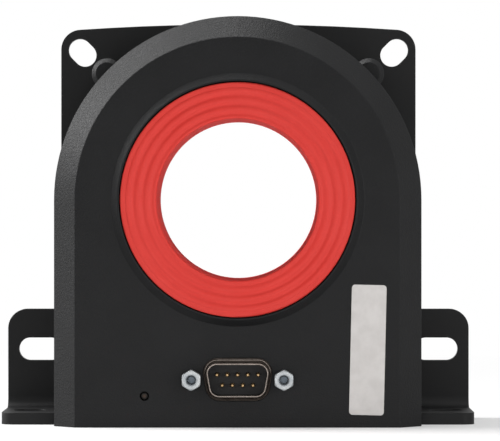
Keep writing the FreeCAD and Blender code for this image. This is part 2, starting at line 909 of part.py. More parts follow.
def jack_screw(side_name, side):
    """Hexagonal jack screw with a turned end, a threaded socket in front and a stud behind."""
    body = new_body(f"jack_screw_{side_name}")
    across = jack_x * side
    end_y = front_y - s.jack_rise
    head = new_sketch(body, "XY_Plane", f"head_{side_name}", connector_z)
    outline(head, [
        (across, front_y),
        (across + jack_reach, front_y),
        (across + jack_reach, end_y + s.jack_chamfer / math.sqrt(3)),
        (across + jack_reach - s.jack_chamfer, end_y),
        (across, end_y),
    ])
    revolve(body, head, axis="Edge5")
    flats = front_sketch(body, f"flats_{side_name}", end_y)
    circle(flats, across, connector_z, jack_reach + s.jack_chamfer)
    hexagon(flats, across, connector_z, s.jack_flats, s.jack_corner)
    pocket(body, flats, s.jack_rise)
    stud = front_sketch(body, f"stud_{side_name}", front_y)
    circle(stud, across, connector_z, s.stud_radius)
    block = pad(body, stud, s.stud_length, backward=True)
    socket = front_sketch(body, f"socket_{side_name}", end_y)
    circle(socket, across, connector_z, s.jack_bore)
    block = pocket(body, socket, s.jack_bore_depth)
    mouth = edge_names(block, lambda edge: lies_at_y(edge, end_y)
                       and close(edge.BoundBox.XLength, s.jack_bore * 2))
    chamfer(body, block, mouth, s.stud_radius - s.jack_bore + s.pin_clearance)
    return body


def connector_bracket(side_name, side):
    """Bent bracket behind the flange with a pressed nut, standing on the board."""
    body = new_body(f"connector_bracket_{side_name}")
    bend = new_sketch(body, "YZ_Plane", f"bend_{side_name}", jack_x * side - s.bracket_width / 2)
    top = connector_z + s.flange_height / 2 - s.fit_gap
    outline(bend, [
        (body_y, board_top),
        (body_y + s.bracket_foot, board_top),
        (body_y + s.bracket_foot, board_top + s.bracket_sheet),
        (body_y + s.bracket_sheet, board_top + s.bracket_sheet),
        (body_y + s.bracket_sheet, top),
        (body_y, top),
    ])
    pad(body, bend, s.bracket_width)
    nut = front_sketch(body, f"nut_{side_name}", body_y)
    circle(nut, jack_x * side, connector_z, s.nut_radius)
    pad(body, nut, s.bracket_sheet + s.nut_length, backward=True)
    hole = front_sketch(body, f"nut_hole_{side_name}", body_y)
    circle(hole, jack_x * side, connector_z, s.stud_radius + s.pin_clearance)
    pocket(body, hole, s.bracket_sheet + s.nut_length)
    return body


def light_pipe():
    """Clear light guide in the small front hole, with a collar behind the wall."""
    body = new_body("light_pipe")
    rod = front_sketch(body, "guide", inner_y)
    circle(rod, -s.light_x, light_z, s.light_hole - s.pin_clearance)
    guide = pad(body, rod, s.cover_wall - s.light_recess)
    lens = edge_names(guide, lambda edge: lies_at_y(edge, front_y + s.light_recess))
    fillet(body, guide, lens, s.light_recess)
    collar = front_sketch(body, "guide_collar", inner_y)
    circle(collar, -s.light_x, light_z, s.light_collar)
    pad(body, collar, s.light_collar_length, backward=True)
    return body


def status_lamp():
    """Side-facing lamp on the board behind the light guide."""
    body = new_body("status_lamp")
    case = front_sketch(body, "lamp_case", inner_y + s.light_collar_length + s.fit_gap)
    rectangle(
        case,
        -(s.light_x + s.lamp_width / 2),
        -(s.light_x - s.lamp_width / 2),
        board_top,
        light_z + s.lamp_width / 2,
    )
    pad(body, case, s.lamp_depth, backward=True)
    return body


def label_plate():
    """Blank metal label with rounded corners, leaning slightly to the right."""
    body = new_body("label_plate")
    face = new_sketch(body, "XZ_Plane", "label_outline")
    half, tall = s.label_width / 2, s.label_height / 2
    outline(face, [
        (-half, -tall, s.label_corner),
        (half, -tall, s.label_corner),
        (half, tall, s.label_corner),
        (-half, tall, s.label_corner),
    ])
    pad(body, face, s.label_sheet)
    turn = FreeCAD.Rotation(FreeCAD.Vector(0, 1, 0), s.label_tilt.value)
    label_x = body_half - s.label_inset
    label_z = base_z + s.label_rise
    place = FreeCAD.Vector(label_x.value, front_y.value, label_z.value)
    body.Placement = FreeCAD.Placement(place, turn)
    body.setExpression("Placement.Base.x", label_x.formula)
    body.setExpression("Placement.Base.y", front_y.formula)
    body.setExpression("Placement.Base.z", label_z.formula)
    body.setExpression("Placement.Rotation.Angle", f"{s.label_tilt.formula} * 1 deg")
    return body


def control_board():
    """Circuit board lying between the rails, with holes for the contacts' tails."""
    body = new_body("control_board")
    board = new_sketch(body, "XY_Plane", "board_outline", board_bottom)
    corner = s.edge_chamfer - (s.cover_wall + s.fit_gap) * (2 - math.sqrt(2))
    outline(board, [
        (-board_half + corner, board_front),
        (board_half - corner, board_front),
        (board_half, board_front + corner),
        (board_half, board_rear),
        (-board_half, board_rear),
        (-board_half, board_front + corner),
    ])
    pad(body, board, s.board_thickness)
    holes = new_sketch(body, "XY_Plane", "tail_holes", board_bottom)
    for across, _, row in contact_places():
        circle(holes, across, tail_y(row), s.tail_radius + s.pin_clearance)
    pocket(body, holes, s.board_thickness, forward=True)
    return body


def cover_screw(place, across, up):
    """Countersunk screw with a hexagonal recess, from the plate into a boss."""
    body = new_body(f"cover_screw_{place}")
    shank = front_sketch(body, f"shank_{place}", rear_y)
    circle(shank, across, up, s.screw_radius)
    pad(body, shank, s.screw_length)
    head = front_sketch(body, f"head_{place}", rear_y)
    head_radius = s.screw_hole_radius + s.countersink - s.pin_clearance
    circle(head, across, up, head_radius)
    block = pad(body, head, s.countersink)
    taper = edge_names(block, lambda edge: lies_at_y(edge, rear_y - s.countersink)
                       and close(edge.BoundBox.XLength, head_radius * 2))
    block = chamfer(body, block, taper, s.countersink - s.pin_clearance)
    recess = front_sketch(body, f"recess_{place}", rear_y)
    hexagon(recess, across, up, s.recess_radius * 2)
    pocket(body, recess, s.countersink, forward=True)
    return body


def turned_ring(name, inner, outer, front, back):
    """Ring of rectangular section about the aperture axis."""
    body = new_body(name)
    section = new_sketch(body, "XY_Plane", name + "_section")
    rectangle(section, inner, outer, front, back)
    revolve(body, section)
    return body


def wound_ring(name, inner, outer, front, back, wall):
    """Winding round a ring core: a hollow section with a gap between its two ends."""
    body = new_body(name)
    section = new_sketch(body, "XY_Plane", name + "_section")
    rectangle(section, inner, outer, front, back)
    rectangle(section, inner + wall, outer - wall, front + wall, back - wall)
    revolve(body, section, angle=s.winding_span)
    return body


def core_stack():
    """Two-part core case, the outer winding, and the three cores inside it."""
    inner, outer = tube_hole, case_radius
    front, back = inner_y + s.fit_gap, plate_y - s.fit_gap
    wall = s.case_wall
    for name, end, floor in (("front", front, front + wall), ("rear", back, back - wall)):
        body = new_body(f"core_case_{name}")
        section = new_sketch(body, "XY_Plane", f"case_{name}_section")
        outline(section, [
            (inner, end),
            (outer, end),
            (outer, 0),
            (outer - wall, 0),
            (outer - wall, floor),
            (inner + wall, floor),
            (inner + wall, 0),
            (inner, 0),
        ])
        revolve(body, section)

    gap = s.tape_gap
    inner, outer = inner + wall + gap, outer - wall - gap
    front, back = front + wall + gap, back - wall - gap
    wound_ring("compensation_winding", inner, outer, front, back, s.winding_wall)

    step = s.winding_wall + gap
    inner, outer, front, back = inner + step, outer - step, front + step, back - step
    middle = s.main_core_length / 2
    turned_ring("main_core", inner, outer, -middle, middle)
    for name, near, far in (
        ("front", front, -middle - gap),
        ("rear", middle + gap, back),
    ):
        wound_ring(f"excitation_winding_{name}", inner, outer, near, far, s.coil_wall)
        inset = s.coil_wall + gap
        turned_ring(f"fluxgate_core_{name}", inner + inset, outer - inset, near + inset, far - inset)


def board_box(name, left, depth, length, width, height):
    """Rectangular part soldered to the board, by its left side and its middle in depth."""
    box = doc.addObject("Part::Box", name)
    box.Label = name
    set_size(box, "Length", length)
    set_size(box, "Width", width)
    set_size(box, "Height", height)
    place_on_board(box, left, depth - width / 2)


def place_on_board(part, across, depth):
    part.Placement.Base = FreeCAD.Vector(across.value, depth.value, board_top.value)
    part.setExpression("Placement.Base.x", across.formula)
    part.setExpression("Placement.Base.y", depth.formula)
    part.setExpression("Placement.Base.z", board_top.formula)
    SUB_PARTS.append(part)


def board_parts():
    """Chips, power parts, capacitors and the winding header on the board."""
    front_row = board_front + s.front_row_inset
    rear_row = board_rear - s.rear_row_inset
    outboard_x = board_half - s.outboard_inset
    inboard_x = outboard_x - s.column_pitch
    board_box("driver_chip", inboard_x, front_row, s.driver_length, s.driver_width, s.driver_height)
    board_box("logic_chip", -inboard_x, front_row, s.logic_length, s.logic_width, s.logic_height)
    board_box("burden_resistor", -outboard_x - s.resistor_length / 2, front_row, s.resistor_length,
              s.resistor_width, s.resistor_height)
    for side_name, side in SIDES:
        board_box(f"power_transistor_{side_name}", outboard_x * side - s.transistor_length / 2, rear_row,
                  s.transistor_length, s.transistor_width, s.transistor_height)
    board_box("winding_header", -s.header_length / 2, rear_row, s.header_length, s.header_width,
              s.header_height)
    for number, side in ((1, -1), (2, 1)):
        can = doc.addObject("Part::Cylinder", f"filter_capacitor_{number}")
        can.Label = f"filter_capacitor_{number}"
        set_size(can, "Radius", s.capacitor_radius)
        set_size(can, "Height", s.capacitor_height)
        place_on_board(can, inboard_x * side, rear_row)


front_cover()
back_plate()
aperture_sleeve()
connector_shell()
connector_insulator()
connector_body()
for number, (across, up, row) in enumerate(contact_places(), start=1):
    contact_pin(number, across, up, row)
for side_name, side in SIDES:
    jack_screw(side_name, side)
    connector_bracket(side_name, side)
light_pipe()
status_lamp()
label_plate()
control_board()
for place, across, up in four_screws():
    cover_screw(place, across, up)
core_stack()
board_parts()

doc.recompute()
for item in doc.Objects:
    if "Invalid" in item.State or "Error" in item.State:
        raise RuntimeError(f"{item.Name} is {item.State}")
os.makedirs("parts", exist_ok=True)
for part in SUB_PARTS:
    if part.Shape.isNull() or not part.Shape.isValid():
        raise RuntimeError(f"{part.Label} has no valid shape")
    part.Shape.exportStep(f"parts/{part.Label}.step")
    print(part.Label, len(part.Shape.Solids), round(part.Shape.Volume, 2))
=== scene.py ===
"""Looks of the fluxgate current transducer: textured black housing, waved red ring, nine-way connector."""

import math

import bmesh
import bpy
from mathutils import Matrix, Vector


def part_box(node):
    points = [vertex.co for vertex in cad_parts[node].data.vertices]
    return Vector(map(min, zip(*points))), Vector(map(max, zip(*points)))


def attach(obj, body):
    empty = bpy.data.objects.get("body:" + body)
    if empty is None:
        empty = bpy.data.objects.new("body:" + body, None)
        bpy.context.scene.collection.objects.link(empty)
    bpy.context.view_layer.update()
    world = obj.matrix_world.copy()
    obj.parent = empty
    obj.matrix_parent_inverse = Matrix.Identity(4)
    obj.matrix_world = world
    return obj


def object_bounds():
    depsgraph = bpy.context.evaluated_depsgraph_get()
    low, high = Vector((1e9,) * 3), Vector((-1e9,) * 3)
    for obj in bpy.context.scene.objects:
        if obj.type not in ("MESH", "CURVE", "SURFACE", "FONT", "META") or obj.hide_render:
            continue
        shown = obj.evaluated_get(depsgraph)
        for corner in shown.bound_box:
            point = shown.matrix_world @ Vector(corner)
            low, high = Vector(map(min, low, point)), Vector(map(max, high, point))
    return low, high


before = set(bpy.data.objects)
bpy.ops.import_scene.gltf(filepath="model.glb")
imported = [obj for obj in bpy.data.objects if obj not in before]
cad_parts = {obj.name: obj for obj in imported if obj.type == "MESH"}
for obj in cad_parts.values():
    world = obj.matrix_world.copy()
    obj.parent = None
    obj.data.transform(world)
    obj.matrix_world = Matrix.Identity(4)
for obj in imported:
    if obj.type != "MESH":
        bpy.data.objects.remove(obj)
cad_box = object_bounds()

MM = 0.001

# Camera: the image's width is in pixels, lengths are in millimetres. The label lies on the front face.
FRONT_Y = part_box("label_plate")[1].y / MM
IMAGE_WIDTH = 500
PIXELS_PER_MM = 3.70
CAMERA_DISTANCE = 900
SENSOR_WIDTH = 36
FRAME_MIDDLE = Vector((3.35, FRONT_Y, -5.6))
CAMERA_PLACE = Vector((5.0, FRONT_Y - CAMERA_DISTANCE, -2.2))

# Lengths in millimetres. A fade is the pair of radii between which one look turns into the other.
# Painted shade darkens the light guide between these radii, towards its rim.
GUIDE_FADE = (0.22, 0.66)
# Painted shade in a jack screw's socket fades out between these radii, over the face round its mouth.
SOCKET_FADE = (0.95, 1.9)
BORE_FADE = (22.03, 22.13)

# The root bead stands this far out of the front face, and its painted highlight is brightest this far above
# the shell's middle.
BEAD_RISE = 0.22
BEAD_HIGHLIGHT_HEIGHT = 4.8

# Thread of the jack screws. The setback is from the front end of the screw.
THREAD_SETBACK = 0.4
THREAD_LENGTH = 3.2
THREAD_MAJOR = 1.26
THREAD_MINOR = 1.04
THREAD_PITCH = 0.635
STEPS_A_TURN = 36

# How far a roughness swings from the value that is given for it.
ROUGHNESS_SPREAD = 0.08

# Colours, linear.
HOUSING_BLACK = (0.0052, 0.0053, 0.0057, 1)
HOUSING_BLACK_WORN = (0.012, 0.0123, 0.013, 1)
PLATE_BLACK = (0.0045, 0.0046, 0.0048, 1)
PLATE_BLACK_WORN = (0.010, 0.0102, 0.0106, 1)
RING_RED = (0.66, 0.038, 0.029, 1)
RING_RED_WORN = (0.70, 0.054, 0.043, 1)
SHELL_METAL = (0.040, 0.033, 0.028, 1)
SHELL_METAL_DULL = (0.025, 0.020, 0.017, 1)
# Rubbed plating at the shell's edges, also painted on its front rim and as a painted highlight on top of its
# root bead.
SHELL_WEAR_AND_HIGHLIGHT = (0.21, 0.18, 0.16, 1)
INSULATOR_BLACK = (0.0115, 0.0108, 0.0108, 1)
INSULATOR_GREY = (0.015, 0.0145, 0.0155, 1)
CONTACT_GOLD = (0.45, 0.305, 0.16, 1)
CONTACT_GOLD_DULL = (0.36, 0.245, 0.125, 1)
ZINC = (0.33, 0.342, 0.345, 1)
ZINC_DULL = (0.255, 0.27, 0.28, 1)
# Painted shade inside the jack screws' sockets and round their mouths.
SOCKET_SHADE = (0.085, 0.10, 0.115, 1)
OXIDE_BLACK = (0.018, 0.018, 0.019, 1)
OXIDE_RUBBED = (0.07, 0.068, 0.066, 1)
GUIDE_AMBER = (0.052, 0.030, 0.019, 1)
# Painted shade at the rim of the light guide.
GUIDE_RIM_SHADE = (0.010, 0.009, 0.008, 1)
LAMP_AMBER = (0.50, 0.17, 0.03, 1)
LABEL_SILVER = (0.52, 0.50, 0.485, 1)
LABEL_SILVER_PALE = (0.57, 0.55, 0.535, 1)
BOARD_GREEN = (0.012, 0.11, 0.045, 1)
BOARD_GREEN_PALE = (0.03, 0.17, 0.08, 1)
CASE_GREY = (0.20, 0.20, 0.205, 1)
CASE_GREY_PALE = (0.26, 0.26, 0.265, 1)
COPPER = (0.60, 0.20, 0.085, 1)
# Painted shade in the creases between the turns of the winding.
COPPER_CREASE_SHADE = (0.34, 0.10, 0.04, 1)
ALLOY = (0.36, 0.36, 0.38, 1)
ALLOY_DARK = (0.24, 0.24, 0.26, 1)
CHIP_BLACK = (0.014, 0.014, 0.015, 1)
CHIP_GREY = (0.03, 0.03, 0.032, 1)
CAN_METAL = (0.70, 0.70, 0.72, 1)
CAN_METAL_DULL = (0.52, 0.52, 0.54, 1)
FLOOR_PALE = (0.80, 0.80, 0.80, 1)
WHITE = (1, 1, 1, 1)


class Tree:
    """Adds nodes to one node tree; an input is given a number, a colour or another node's output."""

    def __init__(self, tree):
        self.tree = tree

    def add(self, kind, inputs=None, **settings):
        node = self.tree.nodes.new(kind)
        for name, value in settings.items():
            setattr(node, name, value)
        for socket, value in (inputs or {}).items():
            self.feed(node, socket, value)
        return node

    def feed(self, node, socket, value):
        if isinstance(value, bpy.types.NodeSocket):
            self.tree.links.new(value, node.inputs[socket])
        else:
            node.inputs[socket].default_value = value

    def object_mm(self):
        """Object coordinates in millimetres."""
        place = self.add("ShaderNodeTexCoord").outputs["Object"]
        return self.add(
            "ShaderNodeVectorMath", {0: place, "Scale": 1 / MM}, operation="SCALE"
        ).outputs["Vector"]

    def noise(self, vector, scale, detail=2.0, roughness=0.5):
        inputs = {"Vector": vector, "Scale": scale, "Detail": detail, "Roughness": roughness}
        return self.add("ShaderNodeTexNoise", inputs).outputs["Fac"]

    def maths(self, operation, first, second=0.0, clamp=False):
        node = self.add("ShaderNodeMath", {0: first, 1: second}, operation=operation, use_clamp=clamp)
        return node.outputs["Value"]

    def map_range(self, value, low, high, to_low, to_high):
        inputs = {"Value": value, "From Min": low, "From Max": high, "To Min": to_low, "To Max": to_high}
        return self.add("ShaderNodeMapRange", inputs).outputs["Result"]

    def blend_colours(self, factor, first, second):
        node = self.add("ShaderNodeMix", data_type="RGBA")
        self.feed(node, 0, factor)
        self.feed(node, 6, first)
        self.feed(node, 7, second)
        return node.outputs[2]

    def distance_to_axis(self, centre, mirrored=False):
        """Distance in millimetres to a line along Y through a place, or to it and its mirror image in X."""
        parts = self.add("ShaderNodeSeparateXYZ", {"Vector": self.object_mm()}).outputs
        across = self.maths("ABSOLUTE", parts["X"]) if mirrored else parts["X"]
        across = self.maths("SUBTRACT", across, abs(centre.x) / MM if mirrored else centre.x / MM)
        up = self.maths("SUBTRACT", parts["Z"], centre.z / MM)
        squares = self.maths("ADD", self.maths("MULTIPLY", across, across), self.maths("MULTIPLY", up, up))
        return self.maths("SQRT", squares)

    def filled(self, shared, inputs):
        node = self.add("ShaderNodeGroup", node_tree=shared)
        for socket, value in inputs.items():
            self.feed(node, socket, value)
        return node


def new_group(name, inputs, outputs):
    """An empty shader node group with float inputs (name: default) and outputs (name: socket type)."""
    shared = bpy.data.node_groups.new(name, "ShaderNodeTree")
    for label, default in inputs.items():
        socket = shared.interface.new_socket(name=label, in_out="INPUT", socket_type="NodeSocketFloat")
        socket.default_value = default
    for label, kind in outputs.items():
        shared.interface.new_socket(name=label, in_out="OUTPUT", socket_type=kind)
    tree = Tree(shared)
    return shared, tree, tree.add("NodeGroupInput").outputs, tree.add("NodeGroupOutput")


def spark_grain_group():
    """Fine pitted grain of a spark-eroded mould, with a slow mottle over the whole moulding."""
    shared, tree, given, out = new_group(
        "spark_grain",
        {"Grain Size": 0.3, "Mottle Size": 18.0},
        {"Height": "NodeSocketFloat", "Mottle": "NodeSocketFloat"},
    )
    place = tree.object_mm()
    per_mm = tree.maths("DIVIDE", 1.0, given["Grain Size"])
    bumps = tree.noise(place, per_mm, detail=2.5, roughness=0.6)
    pits = tree.add(
        "ShaderNodeTexVoronoi", {"Vector": place, "Scale": per_mm}, feature="SMOOTH_F1"
    ).outputs["Distance"]
    bump_share = tree.maths("MULTIPLY", bumps, 0.7)
    pit_share = tree.maths("MULTIPLY", pits, 0.3)
    tree.feed(out, "Height", tree.maths("ADD", bump_share, pit_share))
    slow = tree.noise(place, tree.maths("DIVIDE", 1.0, given["Mottle Size"]), detail=4.0, roughness=0.6)
    tree.feed(out, "Mottle", tree.map_range(slow, 0.35, 0.65, 0.0, 1.0))
    return shared


def worn_edge_group():
    """Softly rounded normal at the edges, and a broken mask of where they are rubbed paler."""
    shared, tree, given, out = new_group(
        "worn_edge",
        {"Radius": 0.0003, "Amount": 0.5},
        {"Normal": "NodeSocketVector", "Mask": "NodeSocketFloat"},
    )
    rounded = tree.add("ShaderNodeBevel", {"Radius": given["Radius"]}, samples=6).outputs["Normal"]
    flat = tree.add("ShaderNodeNewGeometry").outputs["Normal"]
    facing = tree.add("ShaderNodeVectorMath", {0: rounded, 1: flat}, operation="DOT_PRODUCT").outputs["Value"]
    edge = tree.map_range(tree.maths("SUBTRACT", 1.0, facing), 0.01, 0.16, 0.0, 1.0)
    patches = tree.map_range(tree.noise(tree.object_mm(), 0.8, detail=3.0), 0.35, 0.65, 0.25, 1.0)
    wear_and_highlight = tree.maths("MULTIPLY", edge, patches)
    tree.feed(out, "Mask", tree.maths("MULTIPLY", wear_and_highlight, given["Amount"], clamp=True))
    tree.feed(out, "Normal", rounded)
    return shared


def rolled_metal_group():
    """Fine drawn or rolled streaks along X, Y or Z: the axis with the small stretch runs along them."""
    shared, tree, given, out = new_group(
        "rolled_metal",
        {"Across X": 1.0, "Across Y": 1.0, "Across Z": 1.0, "Streak Size": 0.1},
        {"Streak": "NodeSocketFloat", "Mottle": "NodeSocketFloat"},
    )
    place = tree.object_mm()
    stretch = tree.add(
        "ShaderNodeCombineXYZ", {"X": given["Across X"], "Y": given["Across Y"], "Z": given["Across Z"]}
    ).outputs["Vector"]
    along = tree.add("ShaderNodeVectorMath", {0: place, 1: stretch}, operation="MULTIPLY").outputs["Vector"]
    per_mm = tree.maths("DIVIDE", 1.0, given["Streak Size"])
    tree.feed(out, "Streak", tree.noise(along, per_mm, detail=3.0, roughness=0.6))
    tree.feed(out, "Mottle", tree.map_range(tree.noise(place, 0.35, detail=3.0), 0.35, 0.65, 0.0, 1.0))
    return shared


def middle_of(node):
    low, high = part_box(node)
    return (low + high) / 2


spark_grain = spark_grain_group()
worn_edge = worn_edge_group()
rolled_metal = rolled_metal_group()


def open_material(material):
    return Tree(material.node_tree), material.node_tree.nodes["Principled BSDF"]


def new_material(name):
    material = bpy.data.materials.new(name)
    material.use_nodes = True
    return material, *open_material(material)


def swing_roughness(tree, shader, height, roughness):
    """Swings the roughness round a middle value with a surface's height."""
    low, high = roughness - ROUGHNESS_SPREAD, roughness + ROUGHNESS_SPREAD
    tree.feed(shader, "Roughness", tree.map_range(height, 0.3, 0.7, low, high))


def raise_surface(tree, shader, height, depth, normal=None):
    """Bumps a surface by its height times a depth in millimetres, on top of a given normal."""
    inputs = {"Strength": 1.0, "Distance": depth * MM, "Height": height}
    if normal is not None:
        inputs["Normal"] = normal
    tree.feed(shader, "Normal", tree.add("ShaderNodeBump", inputs).outputs["Normal"])


def moulded_plastic(
    name, colour, worn_colour, roughness, grain_size, grain_depth,
    edge_radius=0.3, edge_wear=0.5, specular=0.5, mottle_size=18.0,
):
    """A moulding: mottled colour, rubbed edges and a pitted grain that also scatters the gloss."""
    material, tree, shader = new_material(name)
    grain = tree.filled(spark_grain, {"Grain Size": grain_size, "Mottle Size": mottle_size})
    edge = tree.filled(worn_edge, {"Radius": edge_radius * MM, "Amount": edge_wear})
    height = grain.outputs["Height"]
    shade = tree.maths("MULTIPLY", grain.outputs["Mottle"], 0.3)
    speck = tree.map_range(height, 0.50, 0.66, 0.0, 0.4)
    paler = tree.maths("MAXIMUM", tree.maths("ADD", shade, speck), edge.outputs["Mask"])
    tree.feed(shader, "Base Color", tree.blend_colours(paler, colour, worn_colour))
    swing_roughness(tree, shader, height, roughness)
    shader.inputs["Specular IOR Level"].default_value = specular
    raise_surface(tree, shader, height, grain_depth, edge.outputs["Normal"])
    return material


def plated_metal(
    name, colour, dull_colour, roughness, stretch=(1, 1, 1), streak_size=0.15, streak_depth=0.002,
    edge_radius=0.15, rubbed_colour=None, metallic=1.0,
):
    """Plated or bare metal with fine drawing streaks, patches of duller plating and rubbed edges."""
    material, tree, shader = new_material(name)
    inputs = {f"Across {axis}": share for axis, share in zip("XYZ", stretch)}
    metal = tree.filled(rolled_metal, {**inputs, "Streak Size": streak_size})
    edge = tree.filled(worn_edge, {"Radius": edge_radius * MM, "Amount": 1.0})
    streak = metal.outputs["Streak"]
    plating = tree.blend_colours(metal.outputs["Mottle"], colour, dull_colour)
    edge_colour = rubbed_colour or colour
    tree.feed(shader, "Base Color", tree.blend_colours(edge.outputs["Mask"], plating, edge_colour))
    swing_roughness(tree, shader, streak, roughness)
    shader.inputs["Metallic"].default_value = metallic
    raise_surface(tree, shader, streak, streak_depth, edge.outputs["Normal"])
    return material


def amber_resin(name, colour, transmission, roughness, specular=0.5):
    """Clear or milky resin with faint flow marks."""
    material, tree, shader = new_material(name)
    flow = tree.noise(tree.object_mm(), 1.2, detail=3.0)
    deeper = tuple(channel * 0.6 for channel in colour[:3]) + (1,)
    tree.feed(shader, "Base Color", tree.blend_colours(flow, deeper, colour))
    tree.feed(shader, "Roughness", tree.map_range(flow, 0.3, 0.7, roughness, roughness + ROUGHNESS_SPREAD))
    shader.inputs["Transmission Weight"].default_value = transmission
    shader.inputs["Specular IOR Level"].default_value = specular
    return material


def paint_rim_shade(material, node, centre_colour, rim_shade, fade):
    """A resin that shows its colour in the middle of the guide and goes dark towards the rim: painted shade,
    where the edge of its hole shades it.
    """
    tree, shader = open_material(material)
    from_axis = tree.distance_to_axis(middle_of(node))
    flow = tree.noise(tree.object_mm(), 2.5, detail=3.0)
    wavy = tree.maths("ADD", from_axis, tree.map_range(flow, 0.3, 0.7, -0.06, 0.06))
    # Painted shade: darker towards the rim of the guide.
    rim = tree.map_range(wavy, *fade, 0.0, 1.0)
    tree.feed(shader, "Base Color", tree.blend_colours(rim, centre_colour, rim_shade))


def shade_sockets(material, node, shade, fade):
    """Paints shade on a metal inside the round sockets of a mirrored pair of nodes, fading out over the face
    round their mouths.
    """
    tree, shader = open_material(material)
    from_axis = tree.distance_to_axis(middle_of(node), mirrored=True)
    # Painted shade: dark inside the socket, fading out over the face round its mouth.
    inside = tree.map_range(from_axis, *fade, 1.0, 0.0)
    open_colour = shader.inputs["Base Color"].links[0].from_socket
    tree.feed(shader, "Base Color", tree.blend_colours(inside, open_colour, shade))


def paint_shell_wear_and_highlight(material, node, wear_and_highlight):
    """Paints a drawn shell brighter at its front rim, and paints a highlight on its root bead that is
    brightest at the top and fades downwards, as light from above falls on it.
    """
    tree, shader = open_material(material)
    rim_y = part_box(node)[0].y / MM
    bead_y = FRONT_Y - BEAD_RISE
    middle_z = middle_of(node).z / MM
    parts = tree.add("ShaderNodeSeparateXYZ", {"Vector": tree.object_mm()}).outputs
    # The front rim is painted brighter.
    rim = tree.map_range(parts["Y"], rim_y + 0.35, rim_y + 0.10, 0.0, 1.0)
    off_bead = tree.maths("ABSOLUTE", tree.maths("SUBTRACT", parts["Y"], bead_y))
    bead = tree.map_range(off_bead, 0.06, 0.16, 1.0, 0.0)
    # Painted highlight: the bead is painted brighter towards its top, where light from above falls.
    height = tree.map_range(parts["Z"], middle_z, middle_z + BEAD_HIGHLIGHT_HEIGHT, 0.0, 0.85)
    mask = tree.maths("MAXIMUM", rim, tree.maths("MULTIPLY", bead, height))
    patches = tree.map_range(tree.noise(tree.object_mm(), 1.6, detail=3.0), 0.3, 0.7, 0.55, 1.0)
    broken_mask = tree.maths("MULTIPLY", mask, patches)
    plating = shader.inputs["Base Color"].links[0].from_socket
    tree.feed(shader, "Base Color", tree.blend_colours(broken_mask, plating, wear_and_highlight))


def roughen_bore(material, fade, roughness):
    """Makes the wall of the aperture duller than the face of the ring."""
    tree, shader = open_material(material)
    from_axis = tree.distance_to_axis(Vector((0, 0, 0)))
    inside = tree.map_range(from_axis, *fade, 1.0, 0.0)
    face_roughness = shader.inputs["Roughness"].links[0].from_socket
    change = tree.maths("MULTIPLY", inside, tree.maths("SUBTRACT", roughness, face_roughness))
    tree.feed(shader, "Roughness", tree.maths("ADD", face_roughness, change))


def wound_wire(name, colour, crease_shade, turns, roughness):
    """Enamelled turns side by side: one fine ridge for each turn on the way round the toroid, with painted
    shade in the creases between the turns.
    """
    material, tree, shader = new_material(name)
    place = tree.object_mm()
    parts = tree.add("ShaderNodeSeparateXYZ", {"Vector": place}).outputs
    angle = tree.maths("ARCTAN2", parts["Z"], parts["X"])
    ridge = tree.maths("SINE", tree.maths("MULTIPLY", angle, turns))
    height = tree.map_range(ridge, -1.0, 1.0, 0.0, 1.0)
    # Painted shade in the creases between the turns.
    tree.feed(shader, "Base Color", tree.blend_colours(height, crease_shade, colour))
    gloss = tree.map_range(tree.noise(place, 0.6), 0.3, 0.7, roughness - 0.05, roughness + 0.1)
    tree.feed(shader, "Roughness", gloss)
    raise_surface(tree, shader, height, depth=0.3)
    return material


housing_plastic = moulded_plastic(
    "housing_plastic", HOUSING_BLACK, HOUSING_BLACK_WORN,
    roughness=0.43, grain_size=0.45, grain_depth=0.11, edge_radius=0.4, specular=0.16,
)
plate_plastic = moulded_plastic(
    "plate_plastic", PLATE_BLACK, PLATE_BLACK_WORN,
    roughness=0.55, grain_size=0.26, grain_depth=0.03, edge_radius=0.35, specular=0.20,
)
ring_plastic = moulded_plastic(
    "ring_plastic", RING_RED, RING_RED_WORN,
    roughness=0.52, grain_size=0.45, grain_depth=0.006, edge_radius=0.2, edge_wear=0.3,
    mottle_size=9.0, specular=0.25,
)
insulator_plastic = moulded_plastic(
    "insulator_plastic", INSULATOR_BLACK, INSULATOR_GREY,
    roughness=0.45, grain_size=0.2, grain_depth=0.01, edge_radius=0.1, specular=0.2,
)
case_plastic = moulded_plastic(
    "case_plastic", CASE_GREY, CASE_GREY_PALE,
    roughness=0.5, grain_size=0.3, grain_depth=0.01, edge_radius=0.2,
)
chip_plastic = moulded_plastic(
    "chip_plastic", CHIP_BLACK, CHIP_GREY,
    roughness=0.5, grain_size=0.15, grain_depth=0.008, edge_radius=0.15,
)
board_lacquer = moulded_plastic(
    "board_lacquer", BOARD_GREEN, BOARD_GREEN_PALE,
    roughness=0.3, grain_size=0.8, grain_depth=0.006, edge_radius=0.1,
)
shell_metal = plated_metal(
    "shell_metal", SHELL_METAL, SHELL_METAL_DULL,
    roughness=0.30, stretch=(1, 0.15, 1), edge_radius=0.12, rubbed_colour=SHELL_WEAR_AND_HIGHLIGHT,
)
contact_gold = plated_metal(
    "contact_gold", CONTACT_GOLD, CONTACT_GOLD_DULL,
    roughness=0.42, stretch=(1, 4, 1), edge_radius=0.12,
)
jack_zinc = plated_metal("jack_zinc", ZINC, ZINC_DULL, roughness=0.32, streak_depth=0.004)
bracket_zinc = plated_metal("bracket_zinc", ZINC_DULL, ZINC, roughness=0.38, stretch=(0.2, 1, 1))
screw_oxide = plated_metal("screw_oxide", OXIDE_BLACK, OXIDE_RUBBED, roughness=0.42)
label_foil = plated_metal(
    "label_foil", LABEL_SILVER, LABEL_SILVER_PALE,
    roughness=0.55, stretch=(1, 1, 0.05), edge_radius=0.08, metallic=0.35,
)
core_alloy = plated_metal(
    "core_alloy", ALLOY, ALLOY_DARK, roughness=0.35, stretch=(1, 0.1, 1), streak_size=0.3
)
